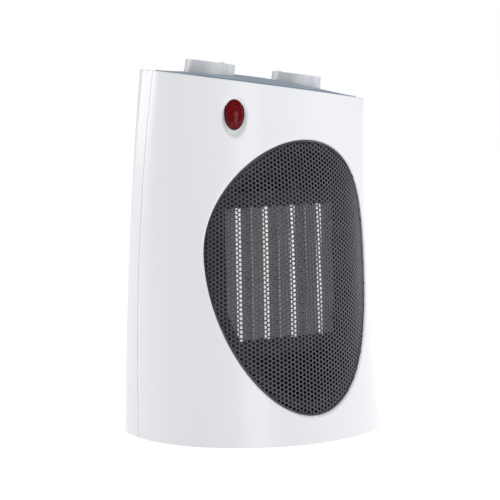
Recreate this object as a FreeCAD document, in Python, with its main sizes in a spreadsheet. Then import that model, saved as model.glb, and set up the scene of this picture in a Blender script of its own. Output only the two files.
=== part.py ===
"""Ceramic fan heater: a flared two-part case round a PTC element, a fan and two top knobs.

Frame: millimetres, +Z up, front of the heater towards -Y, +X to the viewer's right.
The origin is on the floor, under the middle of the case's footprint.
"""
import FreeCAD, Part
import Sketcher
import math
import os
import re
from FreeCAD import Matrix, Placement, Rotation, Vector

doc = FreeCAD.newDocument("CeramicHeater")

# ---------------------------------------------------------------- driving dimensions

DIMENSIONS = {
    # Case: horizontal sections at the rim, at half height and at the top station.
    "half_width_base": 100.0, "half_width_mid": 93.4, "half_width_top": 87.5,
    "front_depth_base": 86.7, "front_depth_mid": 80.8, "front_depth_top": 66.5,
    "seam_bow_mid": 10.1, "seam_bow_top": 1.3,
    "back_depth_base": 50.0, "back_depth_top": 42.0, "back_band": 9.0,
    "station_height": 255.0, "rim_height": 0.8, "case_height": 255.7,
    "top_slant": 7.51, "top_tilt": 1.77,
    "wall": 2.2, "top_wall": 3.4, "seam_gap": 0.3, "clearance": 0.3, "running": 0.05,
    # Air outlet in the front: an egg, widest above its middle.
    "outlet_half_width": 71.6, "outlet_widest_z": 140.3, "outlet_up": 79.0, "outlet_down": 119.5,
    "outlet_bevel": 3.5, "outlet_collar": 3.0, "outlet_collar_depth": 7.5,
    "grille_bulge": 4.0, "grille_squeeze": 7.4, "grille_thickness": 1.0,
    "ring_width": 5.0, "ring_thickness": 1.5, "guide_wall": 1.5,
    # Heating core: place of the element's front face, and its lean.
    "core_y": -15.45, "core_z": 119.4, "core_lean": 1.87,
    "element_height": 97.6, "element_depth": 18.0, "bar_pitch": 23.44, "bar_width": 4.2,
    "bar_wall": 0.6, "plate_thickness": 0.8, "stone_height": 22.0, "stone_depth": 15.0,
    "frame_rim": 8.0, "frame_end": 9.0, "frame_lap": 2.0, "frame_lip": 2.0,
    # Air duct, fan and motor, along the core's own Y axis.
    "duct_plate": 2.5, "duct_half_width": 75.0, "duct_half_height": 94.0,
    "fan_tip_gap": 3.0, "duct_wall": 2.0, "duct_length": 22.0,
    "fan_radius": 47.0, "fan_hub_radius": 15.0, "fan_depth": 13.0, "fan_gap": 4.0,
    "blade_thickness": 1.6, "blade_pitch": 32.0, "blade_count": 7,
    "shaft_radius": 1.6, "motor_radius": 18.0, "motor_length": 24.0, "motor_wall": 1.2,
    "rotor_radius": 10.5, "rotor_length": 12.0, "stator_gap": 0.7,
    "bearing_radius": 4.0, "bearing_length": 3.6, "spider_width": 9.0, "spider_thickness": 3.0,
    # Top controls, in the frame of the slanted top.
    "panel_margin": 5.0, "panel_thickness": 2.0, "panel_sink": 1.2, "panel_crown": 4.7, "well_gap": 2.0,
    "knob_offset": 38.3, "knob_back": 3.7, "knob_radius": 19.5, "knob_height": 9.8,
    "knob_draft": 5.0, "knob_lift": 2.0, "knob_flat_depth": 1.6, "knob_flat_radius": 26.0,
    "knob_lobes": 6, "pointer_length": 5.0, "pointer_width": 2.4, "pointer_height": 0.7,
    "stem_radius": 3.0, "stem_depth": 7.0, "nut_radius": 6.0, "nut_height": 2.2,
    "bush_radius": 4.5, "control_side": 27.0, "control_height": 20.0,
    # Indicator lamp, on the front at the upper left.
    "lamp_x": -50.9, "lamp_drop": 18.7, "lamp_half_width": 6.7, "lamp_half_height": 10.7,
    "lamp_dome": 2.6, "lamp_length": 18.0, "lamp_dish": 3.0, "lamp_dish_depth": 1.2,
    # Base, feet, tip-over switch, fasteners and wiring pieces.
    "base_thickness": 2.5, "base_z": 2.4, "base_gap": 0.8, "foot_radius": 8.0, "foot_x": 60.0,
    "foot_front_y": -30.0, "foot_back_y": 42.0,
    "boss_radius": 5.0, "boss_low_x": 84.0, "boss_low_z": 26.0,
    "boss_high_x": 78.0, "boss_high_drop": 33.7, "screw_radius": 1.6, "screw_head": 3.0,
    "screw_length": 16.0, "screw_head_height": 2.0, "post_x": 66.0, "post_low": 52.0, "post_high": 186.0,
    "tip_x": 36.0, "tip_y": 10.0, "plunger_radius": 3.5, "plunger_travel": 5.0,
    "slot_height": 4.0, "slot_pitch": 8.0, "slot_radius": 46.0, "slot_rows": 11,
    "inlet_x": 52.0, "inlet_z": 30.0, "inlet_radius": 7.0,
}

sheet = doc.addObject("Spreadsheet::Sheet", "Dimensions")
for row, (alias, number) in enumerate(DIMENSIONS.items(), start=1):
    sheet.set(f"A{row}", alias)
    sheet.set(f"B{row}", str(number))
    sheet.setAlias(f"B{row}", alias)
doc.recompute()


def size(alias):
    """The number in the sheet's cell of that name."""
    return float(sheet.get(alias))


def formula(text):
    """An expression in which every alias points at the sheet."""
    return re.sub(r"[a-z_]+[a-z]", lambda m: "Dimensions." + m[0] if m[0] in DIMENSIONS else m[0], str(text))


def bind(obj, **formulas):
    """Bind properties of an object to formulas of the sheet's aliases."""
    for name, text in formulas.items():
        obj.setExpression(name, formula(text))


def place(obj, x=0, y=0, z=0):
    """Bind an object's position to formulas."""
    for axis, text in zip("xyz", (x, y, z)):
        obj.setExpression(f"Placement.Base.{axis}", formula(text))


# ---------------------------------------------------------------- frames

seam_base_y = (size("front_depth_base") - size("back_depth_base")) / 2
top_normal = Vector(math.tan(math.radians(size("top_slant"))), -math.tan(math.radians(size("top_tilt"))), 1)
top_turn = Rotation(Vector(1, 0, 0), Vector(), top_normal, "ZXY")
TOP = Placement(Vector(0, seam_base_y, size("case_height")), top_turn)
CORE = Placement(Vector(0, size("core_y"), size("core_z")), Rotation(Vector(1, 0, 0), -size("core_lean")))
WORLD = Placement()

pieces = []


def keep(obj, label, frame=WORLD):
    """Name a finished sub-part, seat it in its frame and list it for export."""
    obj.Label = label
    obj.Placement = frame
    pieces.append(obj)
    return obj


# ---------------------------------------------------------------- small builders

TURN = {"z": Rotation(), "y": Rotation(Vector(1, 0, 0), -90), "x": Rotation(Vector(0, 1, 0), 90)}


def box(name, extent, centre):
    """A block from its three extents and its centre, all formulas."""
    block = doc.addObject("Part::Box", name)
    bind(block, Length=extent[0], Width=extent[1], Height=extent[2])
    place(block, *(f"{middle} - ({span}) / 2" for middle, span in zip(centre, extent)))
    return block


def rod(name, radius, length, start, axis="y"):
    """A cylinder that runs from start along +x, +y or +z."""
    cylinder = doc.addObject("Part::Cylinder", name)
    cylinder.Placement = Placement(Vector(), TURN[axis])
    bind(cylinder, Radius=radius, Height=length)
    place(cylinder, *start)
    return cylinder


def joined(name, parts):
    """One solid out of several that overlap."""
    fuse = doc.addObject("Part::MultiFuse", name)
    fuse.Shapes = list(parts)
    return fuse


def grouped(name, parts):
    """Separate solids of one kind in one sub-part."""
    group = doc.addObject("Part::Compound", name)
    group.Links = list(parts)
    return group


def cut(name, base, tools):
    """A base less its tools."""
    tool = tools[0] if len(tools) == 1 else grouped(name + "Tools", tools)
    result = doc.addObject("Part::Cut", name)
    result.Base = base
    result.Tool = tool
    return result


def tube(name, outer, inner, length, start, axis="y"):
    """A pipe: an outer rod less a bore that runs past both ends."""
    x, y, z = start
    before = {"x": (f"{x} - 1", y, z), "y": (x, f"{y} - 1", z), "z": (x, y, f"{z} - 1")}[axis]
    bore = rod(name + "Bore", inner, f"{length} + 2", before, axis)
    return cut(name, rod(name + "Rod", outer, length, start, axis), [bore])


def feature(name, shape):
    """A sub-part, or a part of one, whose form is worked out below from the sheet's sizes."""
    obj = doc.addObject("Part::Feature", name)
    obj.Shape = shape
    return obj


# ---------------------------------------------------------------- the case's flared form

def through(t, base, middle, top):
    """The parabola that passes three values at t = 0, 1/2 and 1."""
    return base + t * (4 * middle - 3 * base - top) + t * t * (2 * base - 4 * middle + 2 * top)


def section(z):
    """Half width, front depth, seam's y and back depth of the case at height z."""
    t = (z - size("rim_height")) / size("station_height")
    half_width = through(t, size("half_width_base"), size("half_width_mid"), size("half_width_top"))
    depth = through(t, size("front_depth_base"), size("front_depth_mid"), size("front_depth_top"))
    seam = seam_base_y + through(t, 0, size("seam_bow_mid"), size("seam_bow_top"))
    back = seam_base_y + size("back_depth_base") + t * (size("back_depth_top") - size("back_depth_base"))
    return half_width, depth, seam, back - seam


def curve(points):
    """A smooth edge through points."""
    spline = Part.BSplineCurve()
    spline.interpolate(points)
    return spline.toShape()


def front_arc(z, inset, bulge=0.0, squeeze=0.0, lead=0.0):
    """Half an ellipse round the front, left seam to right; a lead carries both ends on past the seam."""
    half_width, depth, seam, _ = section(z)
    half_width -= inset + squeeze
    depth += bulge - inset
    turns = [math.pi * i / 16 for i in range(17)]
    bend = [Vector(-half_width * math.cos(a), seam - depth * math.sin(a), z) for a in turns]
    if lead:
        runs = [seam + lead, seam + lead / 2]
        left = [Vector(-half_width, y, z) for y in runs]
        right = [Vector(half_width, y, z) for y in reversed(runs)]
        bend = left + bend + right
    return curve(bend)


def back_edges(z, inset, gap=0.0):
    """Side band, rounded back and side band, from the right seam to the left one."""
    half_width, _, seam, depth = section(z)
    half_width -= inset
    depth -= inset
    band = size("back_band")
    roundness = 2.9
    turns = [math.pi * i / 20 for i in range(21)]
    bend = []
    for a in turns:
        across = math.copysign(abs(math.cos(a)) ** (2 / roundness), math.cos(a))
        reach = band + (depth - band) * math.sin(a) ** (2 / roundness)
        bend.append(Vector(half_width * across, seam + reach, z))
    right = Part.makeLine(Vector(half_width, seam + gap, z), bend[0])
    left = Part.makeLine(bend[-1], Vector(-half_width, seam + gap, z))
    return [right, curve(bend), left]


SKIN_TOP = size("case_height") + 40


def loft(wires):
    """A smooth solid through closed sections."""
    return Part.makeLoft(wires, True, False)


def heights(low, high=SKIN_TOP, count=7):
    return [low + (high - low) * i / (count - 1) for i in range(count)]


def closing(edges):
    """The straight edge that closes a run of edges, and with it the wire."""
    start = edges[0].Vertexes[0].Point
    end = edges[-1].Vertexes[-1].Point
    return Part.Wire(edges + [Part.makeLine(end, start)])


def front_half(inset=0.0):
    """The case's front half, as a solid with a flat floor and a flat seam."""
    return loft([closing([front_arc(z, inset)]) for z in heights(size("rim_height"))])


def back_half(low):
    """The case's back half, which starts a narrow gap behind the seam."""
    return loft([closing(back_edges(z, 0.0, size("seam_gap"))) for z in heights(low)])


SEAM_LEAD = 4.0


def whole_case(inset, low):
    """Front and back in one, inset from the outer surface, with no edge at the seam itself."""
    wires = []
    for z in heights(low):
        wires.append(Part.Wire([front_arc(z, inset, lead=SEAM_LEAD)] + back_edges(z, inset, SEAM_LEAD)))
    return loft(wires)


REACH = 400.0


def above_top(offset):
    """Everything more than offset above the slanted top, as one block."""
    block = Part.makeBox(REACH, REACH, REACH, Vector(-REACH / 2, -REACH / 2, offset))
    block.Placement = TOP
    return block


def slab(low, high):
    """A level layer, wider than the case."""
    return Part.makeBox(REACH, REACH, high - low, Vector(-REACH / 2, -REACH / 2, low))


def egg(grow, front, back):
    """The outlet's outline, grown by an amount, as a prism from y = front to y = back."""
    across = size("outlet_half_width") + grow
    centre = size("outlet_widest_z")
    points = []
    for i in range(32):
        a = 2 * math.pi * i / 32
        rise = size("outlet_up") if math.sin(a) > 0 else size("outlet_down")
        points.append(Vector(across * math.cos(a), front, centre + (rise + grow) * math.sin(a)))
    outline = Part.BSplineCurve()
    outline.interpolate(points, PeriodicFlag=True)
    face = Part.Face(Part.Wire(outline.toShape()))
    return face.extrude(Vector(0, back - front, 0))


FAR_FRONT = -size("front_depth_base") * 2


def bulge_at(z):
    """How far the grille stands forward of its own rim's depth at height z."""
    rise = size("outlet_up") if z > size("outlet_widest_z") else size("outlet_down")
    part = (z - size("outlet_widest_z")) / rise
    return (size("grille_bulge") + size("outlet_bevel")) * (1 - part * part) - size("outlet_bevel")


# ---------------------------------------------------------------- front shell

def disc(place_at, radius, length):
    """A cylinder that starts at a placement and runs along its own z."""
    cylinder = Part.makeCylinder(radius, length)
    cylinder.Placement = place_at
    return cylinder


def along_y(x, y, z):
    return Placement(Vector(x, y, z), TURN["y"])


BOSSES = [(side * size("boss_low_x"), size("boss_low_z")) for side in (-1, 1)]
boss_high_z = size("case_height") - size("boss_high_drop")
BOSSES += [(side * size("boss_high_x"), boss_high_z) for side in (-1, 1)]
POSTS = [(side * size("post_x"), size(level)) for side in (-1, 1) for level in ("post_low", "post_high")]


def panel_wire(margin, level, share=1.0):
    """The control panel's lens-shaped outline at a level over the top, drawn to a share of its size."""
    half_width = size("half_width_top") - margin
    front = size("front_depth_top") - margin
    back = size("back_depth_top") - margin
    seam = size("seam_bow_top")
    points = []
    for i in range(36):
        a = 2 * math.pi * i / 36
        reach = back if math.sin(a) > 0 else front
        points.append(Vector(share * half_width * math.cos(a), seam + share * reach * math.sin(a), level))
    outline = Part.BSplineCurve()
    outline.interpolate(points, PeriodicFlag=True)
    return Part.Wire(outline.toShape())


def panel_outline(margin, low, high):
    """The control panel's lens shape in the top's frame, as a prism."""
    prism = Part.Face(panel_wire(margin, low)).extrude(Vector(0, 0, high - low))
    prism.Placement = TOP
    return prism


PANEL_LEDGE = 8.0
panel_seat = panel_outline(size("panel_margin") - size("clearance"), -size("panel_sink"), REACH / 4)
panel_window = panel_outline(size("panel_margin") + PANEL_LEDGE, -REACH / 8, REACH / 4)
inside = whole_case(size("wall"), size("rim_height") - 5).cut(above_top(-size("top_wall")))


def lamp_frame():
    """The lamp's seat: on the front surface, z outwards, y up the slope of the case."""
    z = size("case_height") - size("lamp_drop")
    half_width, depth, seam, _ = section(z)
    share = size("lamp_x") / half_width
    y = seam - depth * math.sqrt(1 - share * share)
    slope = depth * share / half_width / math.sqrt(1 - share * share)
    outward = Vector(slope, -1, 0.2)
    turn = Rotation(Vector(), Vector(0, 0, 1), outward, "ZYX")
    return Placement(Vector(size("lamp_x"), y, z), turn)


LAMP = lamp_frame()


def oval(across, tall, low, high):
    """An upright elliptical prism in the lamp's frame."""
    prism = Part.makeCylinder(1, high - low, Vector(0, 0, low))
    stretch = Matrix()
    stretch.scale(across, tall, 1)
    prism = prism.transformGeometry(stretch)
    prism.Placement = LAMP
    return prism


def dome(across, tall, rise):
    """The front half of an ellipsoid in the lamp's frame."""
    ball = Part.makeSphere(1, Vector(), Vector(0, 0, 1), 0, 90)
    stretch = Matrix()
    stretch.scale(across, tall, rise)
    ball = ball.transformGeometry(stretch)
    ball.Placement = LAMP
    return ball


def front_shell_shape():
    """Flared front with a top rim, a bevelled outlet on a collar, screw bosses and a lamp dish."""
    shell = front_half().cut(above_top(0)).cut(inside)
    hole = egg(-size("outlet_bevel"), FAR_FRONT, seam_base_y)
    deep = whole_case(size("outlet_collar_depth"), size("rim_height") - 1)
    collar = egg(size("outlet_collar"), FAR_FRONT, seam_base_y).cut(hole).common(front_half()).cut(deep)
    shell = shell.fuse(collar).cut(hole)
    rim = min((edge for edge in shell.Edges if on_outlet(edge)), key=lambda edge: edge.BoundBox.YMin)
    shell = shell.makeChamfer(size("outlet_bevel"), [rim])
    stock = front_half(inset=size("wall") / 2).cut(above_top(-size("top_wall") / 2))
    for x, z in BOSSES:
        boss = disc(along_y(x, FAR_FRONT, z), size("boss_radius"), REACH).common(stock)
        seam = section(z)[2]
        bore = disc(along_y(x, seam - size("screw_length"), z), size("screw_radius"), REACH)
        shell = shell.fuse(boss).cut(bore)
    margin = size("lamp_dish")
    dish = dome(size("lamp_half_width") + margin, size("lamp_half_height") + margin, size("lamp_dish_depth"))
    shell = shell.cut(dish.mirror(LAMP.Base, LAMP.Rotation.multVec(Vector(0, 0, 1))))
    gap = size("clearance")
    shell = shell.cut(oval(size("lamp_half_width") + gap, size("lamp_half_height") + gap, -20, 20))
    return shell.cut(panel_seat).cut(panel_window)


def on_outlet(edge):
    """Whether an edge runs right round the outlet's hole."""
    bounds = edge.BoundBox
    tall = size("outlet_up") + size("outlet_down") - 4 * size("outlet_bevel")
    return bounds.ZLength > tall and bounds.XLength < 2 * size("outlet_half_width")


keep(feature("FrontShell", front_shell_shape()), "front_shell")


# ---------------------------------------------------------------- rear shell

def slot(z):
    """One round-ended inlet slot through the back, level with the fan."""
    half_height = size("slot_height") / 2
    half_chord = math.sqrt(size("slot_radius") ** 2 - (z - size("core_z")) ** 2) - half_height
    corner = Vector(-half_chord, seam_base_y + 20, z - half_height)
    bar = Part.makeBox(2 * half_chord, REACH, 2 * half_height, corner)
    for side in (-1, 1):
        bar = bar.fuse(disc(along_y(side * half_chord, seam_base_y + 20, z), half_height, REACH))
    return bar


def rear_shell_shape():
    """Rounded back with inlet slots, posts for the duct and counterbored screw bosses."""
    shell = back_half(size("rim_height")).cut(above_top(0)).cut(inside)
    stock = back_half(size("rim_height")).cut(above_top(-size("top_wall") / 2))
    behind_plate = Part.makeBox(REACH, REACH, REACH, Vector(-REACH / 2, duct_back, -REACH / 2))
    behind_plate.Placement = CORE
    core_stock = back_reach().common(behind_plate)
    for x, z in BOSSES:
        seam = section(z)[2] + size("seam_gap")
        boss = disc(along_y(x, seam, z), size("boss_radius") + 1, REACH).common(stock)
        shell = shell.fuse(boss)
        shell = shell.cut(disc(along_y(x, seam - 1, z), size("screw_radius") + 0.2, REACH))
        head = disc(along_y(x, seam + size("boss_radius"), z), size("screw_head") + 0.4, REACH)
        shell = shell.cut(head)
    for x, z in POSTS:
        axis = CORE.multiply(along_y(x, duct_back, z - size("core_z")))
        shell = shell.fuse(disc(axis, size("boss_radius"), REACH).common(core_stock))
        shell = shell.cut(disc(axis, size("screw_radius") + size("running"), size("screw_length")))
    for row in range(int(size("slot_rows"))):
        shell = shell.cut(slot(size("core_z") + (row - (size("slot_rows") - 1) / 2) * size("slot_pitch")))
    inlet = disc(along_y(size("inlet_x"), seam_base_y + 10, size("inlet_z")), size("inlet_radius"), REACH)
    return shell.cut(inlet).cut(panel_seat).cut(panel_window)


def back_reach():
    """Room inside the back wall, reaching forward of the seam for the posts."""
    return whole_case(size("wall") / 2, size("rim_height"))


duct_front = size("element_depth") + size("clearance")
duct_back = duct_front + size("duct_plate")
keep(feature("RearShell", rear_shell_shape()), "rear_shell")


# ---------------------------------------------------------------- outlet grille, its ring and the air guide

def grille_shape():
    """A domed sheet that fills the outlet; its rim sits at the bottom of the bevel."""
    edge = -size("outlet_bevel") - size("clearance")
    sheet_metal = behind_grille(0).cut(behind_grille(size("grille_thickness")))
    return sheet_metal.common(egg(edge, FAR_FRONT, seam_base_y))


def behind_grille(depth):
    """The solid that starts a depth behind the grille's front."""
    low = size("outlet_widest_z") - size("outlet_down")
    high = size("outlet_widest_z") + size("outlet_up")
    levels = heights(low, high, 13)
    return loft([closing([front_arc(z, depth, bulge_at(z), size("grille_squeeze"))]) for z in levels])


def ring_shape():
    """An egg-shaped band that clamps the grille's rim from behind."""
    start = size("grille_thickness") + size("clearance")
    layer = behind_grille(start).cut(behind_grille(start + size("ring_thickness")))
    edge = -size("outlet_bevel") - size("clearance")
    outer = egg(edge, FAR_FRONT, seam_base_y)
    return layer.common(outer).cut(egg(edge - size("ring_width"), FAR_FRONT - 1, seam_base_y + 1))


def guide_shape():
    """A dark egg-shaped duct from the ring back to the duct plate."""
    start = size("grille_thickness") + size("ring_thickness") + 2 * size("clearance")
    edge = -size("outlet_bevel") - size("clearance")
    wall = egg(edge, FAR_FRONT, seam_base_y).cut(
        egg(edge - size("guide_wall"), FAR_FRONT - 1, seam_base_y + 1))
    before_plate = Part.makeBox(REACH, REACH, REACH, Vector(-REACH / 2, duct_front - REACH, -REACH / 2))
    before_plate.Placement = CORE
    wall = wall.common(behind_grille(start)).common(before_plate)
    frame_half = 2 * size("bar_pitch") + size("frame_rim") + size("plate_thickness") / 2
    across = 2 * (frame_half + 2 * size("clearance"))
    tall = size("element_height") + 2 * (size("frame_lap") + size("frame_end") + 2 * size("clearance"))
    front = -size("frame_lip") - 2 * size("clearance")
    room = Part.makeBox(across, REACH, tall, Vector(-across / 2, front, -tall / 2))
    room.Placement = CORE
    return wall.cut(room)


keep(feature("OutletGrille", grille_shape()), "outlet_grille")
keep(feature("GrilleRing", ring_shape()), "grille_clamp_ring")
keep(feature("AirGuide", guide_shape()), "air_guide")


# ---------------------------------------------------------------- heating element, in the core's frame

BARS = (-1.5, -0.5, 0.5, 1.5)
PLATES = (-2, -1, 0, 1, 2)
full_height = "element_height + 2 * frame_lap"

bars = []
stones = []
for index, step in enumerate(BARS):
    middle = (f"{step} * bar_pitch", "element_depth / 2", 0)
    jacket = box(f"Bar{index}", ("bar_width", "element_depth", full_height), middle)
    room = ("bar_width - 2 * bar_wall", "element_depth - 2 * bar_wall", full_height + " + 2")
    bars.append(cut(f"BarTube{index}", jacket, [box(f"BarRoom{index}", room, middle)]))
    for level in range(4):
        z = f"({level} - 1.5) * (stone_height + clearance)"
        extent = ("bar_width - 2 * bar_wall - 2 * running", "stone_depth", "stone_height")
        stones.append(box(f"Stone{index}{level}", extent, (middle[0], middle[1], z)))
keep(grouped("PtcBars", bars), "ptc_bars", CORE)
keep(grouped("PtcStones", stones), "ptc_ceramic_stones", CORE)

plates = [box(f"Plate{index}", ("plate_thickness", "element_depth", full_height),
              (f"{step} * bar_pitch", "element_depth / 2", 0)) for index, step in enumerate(PLATES)]
keep(grouped("ContactPlates", plates), "contact_plates", CORE)


def fin_column(left, right):
    """A corrugated strip folded to and fro between two faces."""
    height = size("element_height") + 2 * size("frame_lap")
    fold = 4.0
    strip = 0.4
    count = int(height / fold)
    half = Vector(strip * abs(right - left) / fold / 2, 0, 0)
    low, high = min(left, right) + half.x, max(left, right) - half.x
    folds = []
    for i in range(count + 1):
        z = -height / 2 + i * height / count
        folds.append(Vector(low if i % 2 else high, 0, z))
    one_side = [point - half for point in folds]
    other_side = [point + half for point in reversed(folds)]
    face = Part.Face(Part.makePolygon(one_side + other_side + [one_side[0]]))
    return face.extrude(Vector(0, size("element_depth"), 0))


fins = []
for step in BARS:
    for side in (-1, 1):
        near = step * size("bar_pitch") + side * (size("bar_width") / 2 + size("running"))
        to_plate = (size("bar_pitch") - size("plate_thickness")) / 2 - size("running")
        far = step * size("bar_pitch") + side * to_plate
        fins.append(fin_column(near, far))
keep(feature("Fins", Part.makeCompound(fins)), "radiator_fins", CORE)

half_across = "(2 * bar_pitch + plate_thickness / 2 + clearance)"
half_tall = "(element_height / 2 + frame_lap + clearance)"
depth = "(element_depth + frame_lip + 2 * clearance)"
mid_y = "(element_depth - frame_lip) / 2"
surround = box("Surround", (f"2 * {half_across} + 2 * frame_rim", depth, f"2 * {half_tall} + 2 * frame_end"),
               (0, mid_y, 0))
pocket = box("SurroundPocket", (f"2 * {half_across}", depth, f"2 * {half_tall}"),
             (0, f"{mid_y} + frame_lip", 0))
window = box("SurroundWindow", (f"2 * {half_across}", f"3 * {depth}", "element_height"), (0, mid_y, 0))
corner_x = f"({half_across} + frame_rim / 2)"
corner_z = f"({half_tall} + frame_end / 2)"
CORNERS = [(a, b) for a in (-1, 1) for b in (-1, 1)]
pilot_start = "element_depth + clearance - screw_length / 2"
pilots = [rod(f"FramePilot{i}", "screw_radius + running", "screw_length",
              (f"{a} * {corner_x}", pilot_start, f"{b} * {corner_z}")) for i, (a, b) in enumerate(CORNERS)]
slots = [box(f"TabSlot{i}", (1.0, 6.6, "frame_end + 20"), (f"{step} * bar_pitch", "element_depth / 2",
             f"{half_tall} + frame_end / 2")) for i, step in enumerate((-2, 0, 2))]
keep(cut("HeaterFrame", surround, [pocket, window] + pilots + slots), "heater_frame", CORE)

tabs = [box(f"Tab{i}", (0.8, 6.3, "frame_end + 9"), (f"{step} * bar_pitch", "element_depth / 2",
            f"{half_tall} + (frame_end + 9) / 2 - clearance + running")) for i, step in enumerate((-2, 0, 2))]
keep(grouped("Tabs", tabs), "heater_terminals", CORE)


# ---------------------------------------------------------------- air duct, fan and motor

plate_front = "(element_depth + clearance)"
plate_back = "(element_depth + clearance + duct_plate)"
duct_end = "(element_depth + clearance + duct_plate + duct_length)"
motor_start = "(element_depth + clearance + duct_plate + duct_length + spider_thickness)"

plate = box("DuctPlate", ("2 * duct_half_width", "duct_plate", "2 * duct_half_height"),
            (0, f"{plate_front} + duct_plate / 2", 0))
throat_radius = "(fan_radius + fan_tip_gap)"
barrel = rod("DuctBarrel", f"{throat_radius} + duct_wall", "duct_plate + duct_length", (0, plate_front, 0))
throat = rod("DuctThroat", throat_radius, "duct_plate + duct_length + 2", (0, f"{plate_front} - 1", 0))
holes = [rod(f"FrameHole{i}", "screw_radius + running", 10, (f"{a} * {corner_x}", f"{plate_front} - 2",
             f"{b} * {corner_z}")) for i, (a, b) in enumerate(CORNERS)]
for i, (x, z) in enumerate(POSTS):
    side = 1 if x > 0 else -1
    level = "post_high" if z > size("core_z") else "post_low"
    holes.append(rod(f"PostHole{i}", "screw_radius + running", 10,
                     (f"{side} * post_x", f"{plate_front} - 2", f"{level} - core_z")))
keep(cut("FanDuct", joined("DuctBlank", [plate, barrel]), [throat] + holes), "fan_duct", CORE)

at_duct_end = (0, duct_end, 0)
rim_outer, rim_inner = f"{throat_radius} + duct_wall", f"{throat_radius} - 2"
spider = [tube("SpiderRim", rim_outer, rim_inner, "spider_thickness", at_duct_end),
          rod("SpiderHub", "motor_radius", "spider_thickness", at_duct_end)]
for i in range(3):
    arm = box(f"SpiderArm{i}", ("spider_width", "spider_thickness", f"{throat_radius} - 4"),
              (0, "spider_thickness / 2", f"({throat_radius} - 4) / 2 + 4"))
    turned = doc.addObject("Part::Compound", f"SpiderTurn{i}")
    turned.Links = [arm]
    turned.Placement = Placement(Vector(), Rotation(Vector(0, 1, 0), 120 * i))
    bind(turned, **{"Placement.Base.y": duct_end})
    spider.append(turned)
opening = rod("SpiderBore", "bearing_radius + running", "spider_thickness + 2", (0, f"{duct_end} - 1", 0))
keep(cut("MotorSpider", joined("SpiderBlank", spider), [opening]), "motor_spider", CORE)

can = rod("CanOuter", "motor_radius", "motor_length - motor_wall", (0, motor_start, 0))
can_room = rod("CanRoom", "motor_radius - motor_wall", "motor_length", (0, f"{motor_start} + motor_wall", 0))
can_eye = rod("CanEye", "bearing_radius + running", "3 * motor_wall", (0, f"{motor_start} - motor_wall", 0))
keep(cut("MotorCan", can, [can_room, can_eye]), "motor_can", CORE)

cap_start = f"({motor_start} + motor_length - motor_wall)"
keep(tube("MotorCap", "motor_radius", "bearing_radius + running", "motor_wall", (0, cap_start, 0)),
     "motor_end_cap", CORE)

keep(grouped("Bearings", [
    tube("FrontBearing", "bearing_radius", "shaft_radius + running", "bearing_length", (0, motor_start, 0)),
    tube("BackBearing", "bearing_radius", "shaft_radius + running", "bearing_length",
         (0, f"{motor_start} + motor_length - bearing_length", 0))]), "motor_bearings", CORE)

iron_start = f"({motor_start} + (motor_length - rotor_length) / 2)"
keep(tube("Stator", "motor_radius - motor_wall - running", "rotor_radius + stator_gap", "rotor_length",
          (0, iron_start, 0)), "motor_stator", CORE)

fan_start = f"({plate_back} + fan_gap)"
shaft_start = f"({plate_back} + fan_gap + 3)"
shaft_length = f"{motor_start} + motor_length + 2 - {shaft_start}"
shaft = rod("Shaft", "shaft_radius", shaft_length, (0, shaft_start, 0))
keep(grouped("MotorShaft", [shaft]), "motor_shaft", CORE)
keep(tube("Rotor", "rotor_radius", "shaft_radius", "rotor_length", (0, iron_start, 0)), "motor_rotor", CORE)

hub = rod("FanHub", "fan_hub_radius", "fan_depth", (0, fan_start, 0))
blades = []
for i in range(int(size("blade_count"))):
    blade = box(f"Blade{i}", ("fan_depth + 5", "blade_thickness", "fan_radius - fan_hub_radius + 4"),
                (0, 0, "(fan_radius + fan_hub_radius - 4) / 2"))
    pitched = doc.addObject("Part::Compound", f"BladePitch{i}")
    pitched.Links = [blade]
    pitched.Placement = Placement(Vector(), Rotation(Vector(0, 0, 1), size("blade_pitch")))
    spread = doc.addObject("Part::Compound", f"BladeTurn{i}")
    spread.Links = [pitched]
    spread.Placement = Placement(Vector(), Rotation(Vector(0, 1, 0), 360 * i / size("blade_count")))
    bind(spread, **{"Placement.Base.y": f"{fan_start} + fan_depth / 2"})
    blades.append(spread)
swept = doc.addObject("Part::Common", "FanSwept")
swept.Base = joined("FanBlank", [hub] + blades)
swept.Tool = rod("FanLimit", "fan_radius", "fan_depth + 4", (0, f"{fan_start} - 2", 0))
fan_bore = rod("FanBore", "shaft_radius", "fan_depth", (0, shaft_start, 0))
keep(cut("Impeller", swept, [fan_bore]), "fan_impeller", CORE)


def screws(name, places, start, length, head_side=1):
    """Pan-head screws along +y from the tip's y to the head; head_side -1 turns them round."""
    made = []
    for i, (x, z) in enumerate(places):
        shank = rod(f"{name}Shank{i}", "screw_radius", length, (x, start, z))
        seat = f"{start} + {length}" if head_side > 0 else f"{start} - screw_head_height"
        head = rod(f"{name}Head{i}", "screw_head", "screw_head_height", (x, seat, z))
        made.append(joined(f"{name}{i}", [shank, head]))
    return grouped(name, made)


corner_places = [(f"{a} * {corner_x}", f"{b} * {corner_z}") for a, b in CORNERS]
keep(screws("HeaterScrews", corner_places, f"{plate_back} - 9", "9"), "heater_screws", CORE)
post_places = [(f"{side} * post_x", f"{level} - core_z")
               for side in (-1, 1) for level in ("post_low", "post_high")]
keep(screws("DuctScrews", post_places, plate_front, "duct_plate + 9", -1), "duct_screws", CORE)

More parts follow.
